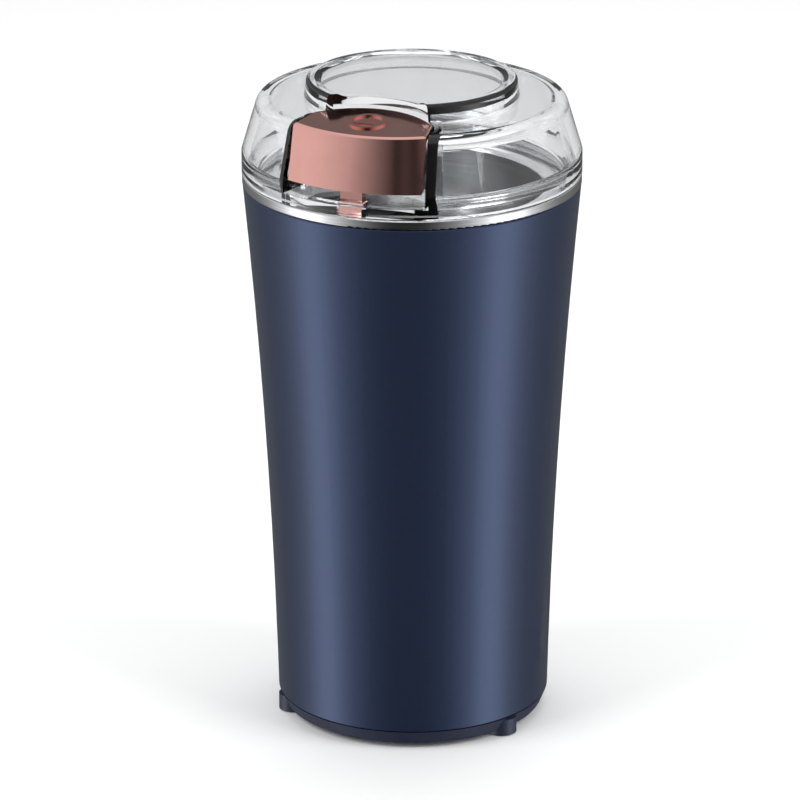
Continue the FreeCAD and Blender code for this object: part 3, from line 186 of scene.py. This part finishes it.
finishes = {
    # lacquer with a fine metal fleck: dark in front, with soft bluish bands of light at both sides
    "satinNavyLacquer": {
        "shader": {"IOR": 1.5, "Metallic": 0.6}, "tones": ("#2B3751", "#313D58"),
        "grain": 0.9, "detail": 1, "gloss": (0.21, 0.24), "relief": 0.004,
        "toneGrain": 0.25, "toneDetail": 1,         # fleck, drawn coarser than the real 0.05 mm
        "wornBy": ["body_shell"]},
    # moulded with an etched texture: a duller, darker blue than the lacquer, with a soft light at its edge
    "finelyTexturedNavyAbs": {
        "tones": ("#1B2237", "#212942"), "grain": 0.5, "gloss": (0.42, 0.52), "relief": 0.02,
        "wornBy": ["base_cover"]},
    # clear and glossy on both sides with the slight waves of moulding: crisp white lines at every edge
    "clearAcrylic": {
        "shader": {"Transmission Weight": 1.0, "IOR": 1.49, "Base Color": hexColour("#F4F5F6")},
        "grain": 14, "detail": 1, "gloss": (0.01, 0.03), "relief": 0.01,
        "wornBy": ["lid_shell"]},
    # vacuum plated on moulded plastic: a smooth pink metal that goes from pale to dark across its front
    "roseGoldPlating": {
        "shader": {"Metallic": 1.0}, "tones": ("#D5A097", "#DBA69E"),
        "grain": 0.7, "detail": 1, "gloss": (0.11, 0.14), "relief": 0.003,
        "toneGrain": 9, "toneDetail": 2,
        "wornBy": ["button_cap"]},
    # spun and polished: fine rings about the axis that stretch the light into streaks
    "spunStainlessSteel": {
        "shader": {"Metallic": 1.0}, "tones": ("#B9BABB", "#D2D3D4"), "rings": True,
        "grain": 0.35, "gloss": (0.12, 0.2), "relief": 0.002,
        "toneGrain": 0.35, "toneDetail": 2,
        "wornBy": ["bowl"]},
    # ground all over: an even, slightly soft mirror
    "groundStainlessSteel": {
        "shader": {"Metallic": 1.0}, "tones": ("#AEB0B2", "#C9CACB"),
        "grain": 0.4, "gloss": (0.16, 0.26), "relief": 0.004,
        "wornBy": ["blade", "blade_washer", "motor_shaft"]},
    # cast and lightly turned: a pale grey metal with a soft sheen
    "diecastAluminium": {
        "shader": {"Metallic": 1.0}, "tones": ("#9EA1A4", "#B5B7BA"),
        "grain": 0.6, "gloss": (0.32, 0.45), "relief": 0.01,
        "wornBy": ["bowl_hub", "hub_nut"]},
    # moulded rubber: nearly black and dull
    "blackRubber": {
        "tones": ("#141414", "#1E1E1F"), "grain": 0.5, "gloss": (0.62, 0.8), "relief": 0.01,
        "wornBy": ["foot_pads", "cord_gland", "bowl_gasket", "shaft_seal", "motor_grommets"]},
    # glass filled and moulded: black with a low, slightly broken shine
    "blackNylon": {
        "tones": ("#17181A", "#202124"), "grain": 0.5, "gloss": (0.4, 0.52), "relief": 0.01,
        "wornBy": ["motor_carrier", "microswitch_case", "cooling_fan", "blade_spacer", "brush_holders"]},
    # plated and passivated: a warm grey metal with a yellowish cast
    "zincPlatedSteel": {
        "shader": {"Metallic": 1.0}, "tones": ("#A9A794", "#C3C3BB"),
        "grain": 0.5, "gloss": (0.25, 0.4), "relief": 0.004,
        "wornBy": ["base_screws", "carrier_screws", "motor_screws", "stator_screws", "switch_screws",
                   "upper_bracket", "lower_bracket", "plunger_spring", "brush_springs", "switch_lever",
                   "blade_nut"]},
    # stamped sheets pressed together: a dark, rough steel
    "laminatedSteel": {
        "shader": {"Metallic": 1.0}, "tones": ("#5D6064", "#787B80"),
        "grain": 0.35, "gloss": (0.4, 0.55), "relief": 0.02,
        "wornBy": ["stator_core", "armature_core"]},
    # varnished wire: red-brown and glossy, with the unevenness of its turns
    "enamelledCopperWire": {
        "shader": {"Metallic": 1.0}, "tones": ("#8E4A22", "#B4652F"),
        "grain": 0.4, "gloss": (0.25, 0.38), "relief": 0.06,
        "wornBy": ["field_coils", "armature_windings", "commutator"]},
    # stamped from sheet: a clean yellow metal
    "stampedBrass": {
        "shader": {"Metallic": 1.0}, "tones": ("#B08D4A", "#C9A862"),
        "grain": 0.5, "gloss": (0.25, 0.35), "relief": 0.004,
        "wornBy": ["switch_terminals"]},
    # pressed powder: a brown metal with an open, dull surface
    "sinteredBronze": {
        "shader": {"Metallic": 1.0}, "tones": ("#8A6A3E", "#A07F50"),
        "grain": 0.3, "gloss": (0.45, 0.6), "relief": 0.01,
        "wornBy": ["upper_bearing", "lower_bearing"]},
    # pressed carbon: a dull charcoal
    "carbonBrush": {
        "tones": ("#1B1B1D", "#29292B"), "grain": 0.3, "gloss": (0.55, 0.7), "relief": 0.01,
        "wornBy": ["carbon_brushes"]},
    # unfilled and moulded: an off-white with a waxy shine
    "whiteNylon": {
        "tones": ("#DAD9D4", "#E6E5E1"), "grain": 0.5, "gloss": (0.4, 0.5), "relief": 0.006,
        "wornBy": ["switch_plunger"]},
    # extruded sleeve: a greyish blue without shine
    "siliconeSleeve": {
        "tones": ("#5C6A86", "#6C7A96"), "grain": 0.4, "gloss": (0.5, 0.62), "relief": 0.01,
        "wornBy": ["motor_leads"]},
    # dipped case: a glossy warm yellow
    "yellowFilmCapacitor": {
        "tones": ("#C79A1F", "#D9AC30"), "grain": 0.6, "gloss": (0.3, 0.42), "relief": 0.01,
        "wornBy": ["suppression_capacitor"]},
    # woven and varnished sleeve, shown smooth: a light grey without shine
    "thermalLinkSleeve": {
        "tones": ("#9AA0A4", "#B0B5B9"), "grain": 0.4, "gloss": (0.5, 0.62), "relief": 0.01,
        "wornBy": ["thermal_cutout"]},
}


def makeFinish(name, finish):
    material = bpy.data.materials.new(name)
    material.use_nodes = True
    tree = material.node_tree
    tree.nodes.clear()
    shader = addNode(tree, "ShaderNodeBsdfPrincipled", finish["shader"])
    addNode(tree, "ShaderNodeOutputMaterial", {}, {"Surface": shader.outputs[0]})
    place = addNode(tree, "ShaderNodeTexCoord").outputs["Object"]
    if finish["rings"]:
        # the distance from the axis and the height, so that the grain runs round the axis
        parts = addNode(tree, "ShaderNodeSeparateXYZ", {}, {0: place})
        across = addNode(tree, "ShaderNodeCombineXYZ", {}, {0: parts.outputs[0], 1: parts.outputs[1]})
        radius = addNode(tree, "ShaderNodeVectorMath", {"operation": "LENGTH"}, {0: across.outputs[0]})
        place = addNode(tree, "ShaderNodeCombineXYZ", {},
                        {0: radius.outputs["Value"], 2: parts.outputs[2]}).outputs[0]
    fine = addNode(tree, "ShaderNodeTexNoise", {"Scale": 1 / (finish["grain"] * mm), "Detail": finish["detail"]},
                   {"Vector": place}).outputs["Fac"]
    rough = addNode(tree, "ShaderNodeMapRange",
                    {**grainRange, "To Min": finish["gloss"][0], "To Max": finish["gloss"][1]}, {"Value": fine})
    tree.links.new(rough.outputs[0], shader.inputs["Roughness"])
    raised = addNode(tree, "ShaderNodeBump", {"Distance": finish["relief"] * mm, "Strength": 1.0}, {"Height": fine})
    tree.links.new(raised.outputs[0], shader.inputs["Normal"])
    if "tones" in finish:
        toneGrain = finish.get("toneGrain", finish["grain"] * toneWidth) * mm
        patches = addNode(tree, "ShaderNodeTexNoise", {"Scale": 1 / toneGrain, "Detail": finish["toneDetail"]},
                          {"Vector": place}).outputs["Fac"]
        between = addNode(tree, "ShaderNodeMapRange", {**grainRange, "To Min": 0, "To Max": 1}, {"Value": patches})
        dark, light = (hexColour(tone) for tone in finish["tones"])
        colour = addNode(tree, "ShaderNodeMix", {"data_type": "RGBA", 6: dark, 7: light}, {0: between.outputs[0]})
        tree.links.new(colour.outputs[2], shader.inputs["Base Color"])
    return material


dressed = 0
for name, finish in finishes.items():
    material = makeFinish(name, {**commonFinish, **finish})
    for nodeName in finish["wornBy"]:
        slots = nodes[nodeName].data.materials
        for index in range(len(slots)):
            slots[index] = material
        dressed += 1
print(len(finishes), "finishes on", dressed, "of", len(nodes), "nodes")
